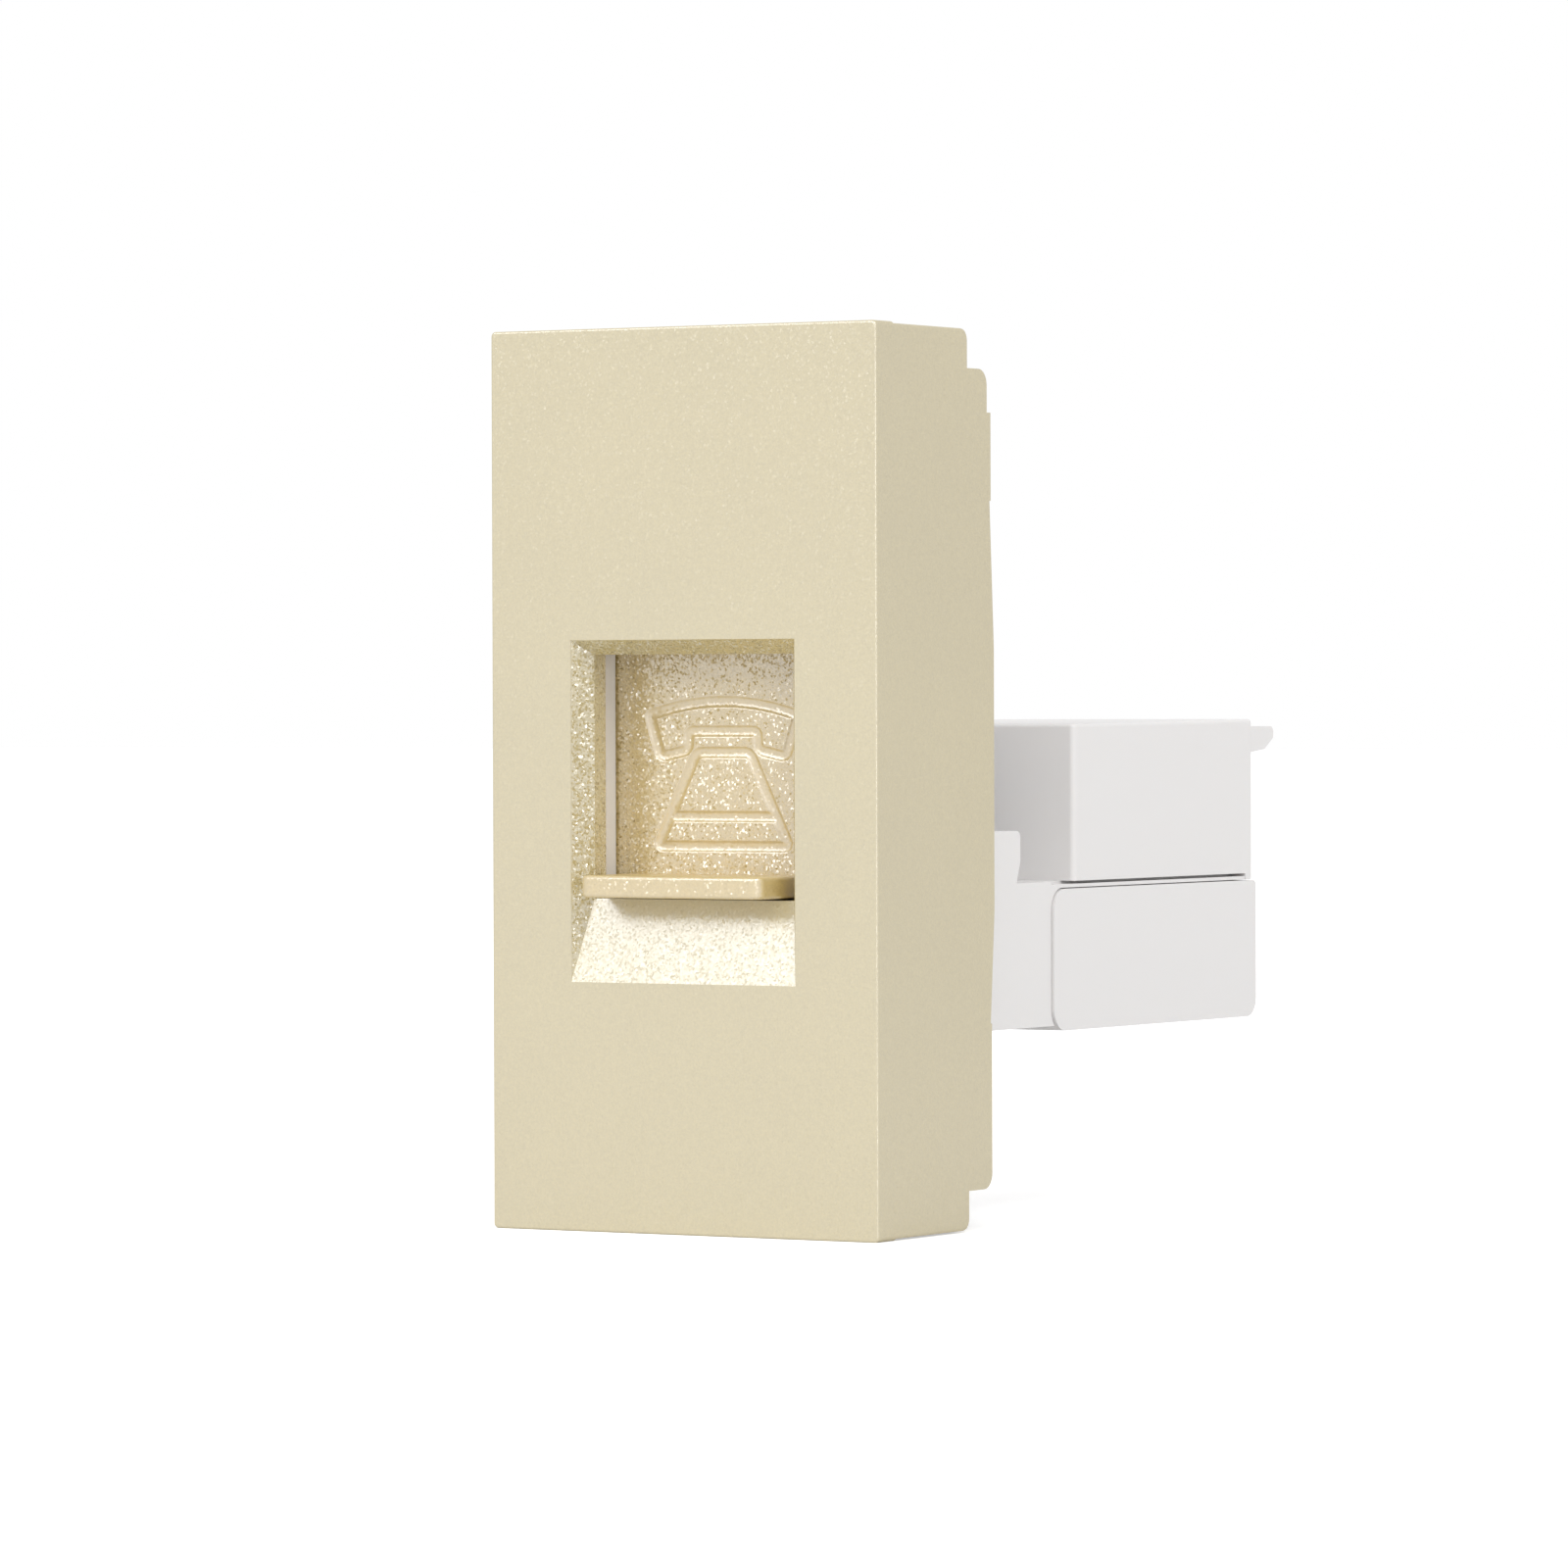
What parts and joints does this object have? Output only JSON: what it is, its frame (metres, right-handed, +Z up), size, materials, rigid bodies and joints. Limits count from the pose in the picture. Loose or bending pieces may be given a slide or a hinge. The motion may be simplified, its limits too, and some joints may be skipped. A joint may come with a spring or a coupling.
{
  "type": "telephone wall socket",
  "caption": "Half-width snap-in telephone wall socket: satin gold cover, window with a sliding shutter marked with a telephone, and a white jack body behind.",
  "frame": {"origin": "centre of the seat plane, where the shoulders behind the face rest on the front of the support frame", "axes": "+Y into the wall, +Z up, +X to the right seen from the front; the face looks towards -Y"},
  "size_m": [0.0226, 0.0505, 0.045],
  "materials": {
    "gold_paint": "champagne metallic paint, satin",
    "white_plastic": "white moulded plastic, satin",
    "black_plastic": "black moulded plastic",
    "board": "green solder mask",
    "spring_steel": "drawn spring wire",
    "gold_plating": "gold-plated phosphor bronze wire",
    "tinned_bronze": "tinned phosphor bronze, stamped"
  },
  "bodies": {
    "socket": {"front_cover": "gold_paint", "shutter_carrier": "white_plastic", "guide_plate": "white_plastic", "jack_body": "white_plastic", "bottom_cover": "white_plastic", "terminal_cover": "white_plastic", "contact_carrier": "black_plastic", "circuit_board": "board", "shutter_spring_left": "spring_steel", "shutter_spring_right": "spring_steel", "contact_wire_1": "gold_plating", "contact_wire_2": "gold_plating", "contact_wire_3": "gold_plating", "contact_wire_4": "gold_plating", "terminal_fork_1": "tinned_bronze", "terminal_fork_2": "tinned_bronze", "terminal_fork_3": "tinned_bronze", "terminal_fork_4": "tinned_bronze"},
    "sliding_shutter": {"shutter": "gold_paint"}
  },
  "joints": [
    {"name": "shutter_slide", "type": "slide", "parent": "socket", "child": "sliding_shutter", "axis": [0, 0, 1], "range_m": [0, 0.0107], "stiffness_N_per_m": 60, "springref_m": -0.004, "deforming": ["shutter_spring_left", "shutter_spring_right"]}
  ]
}
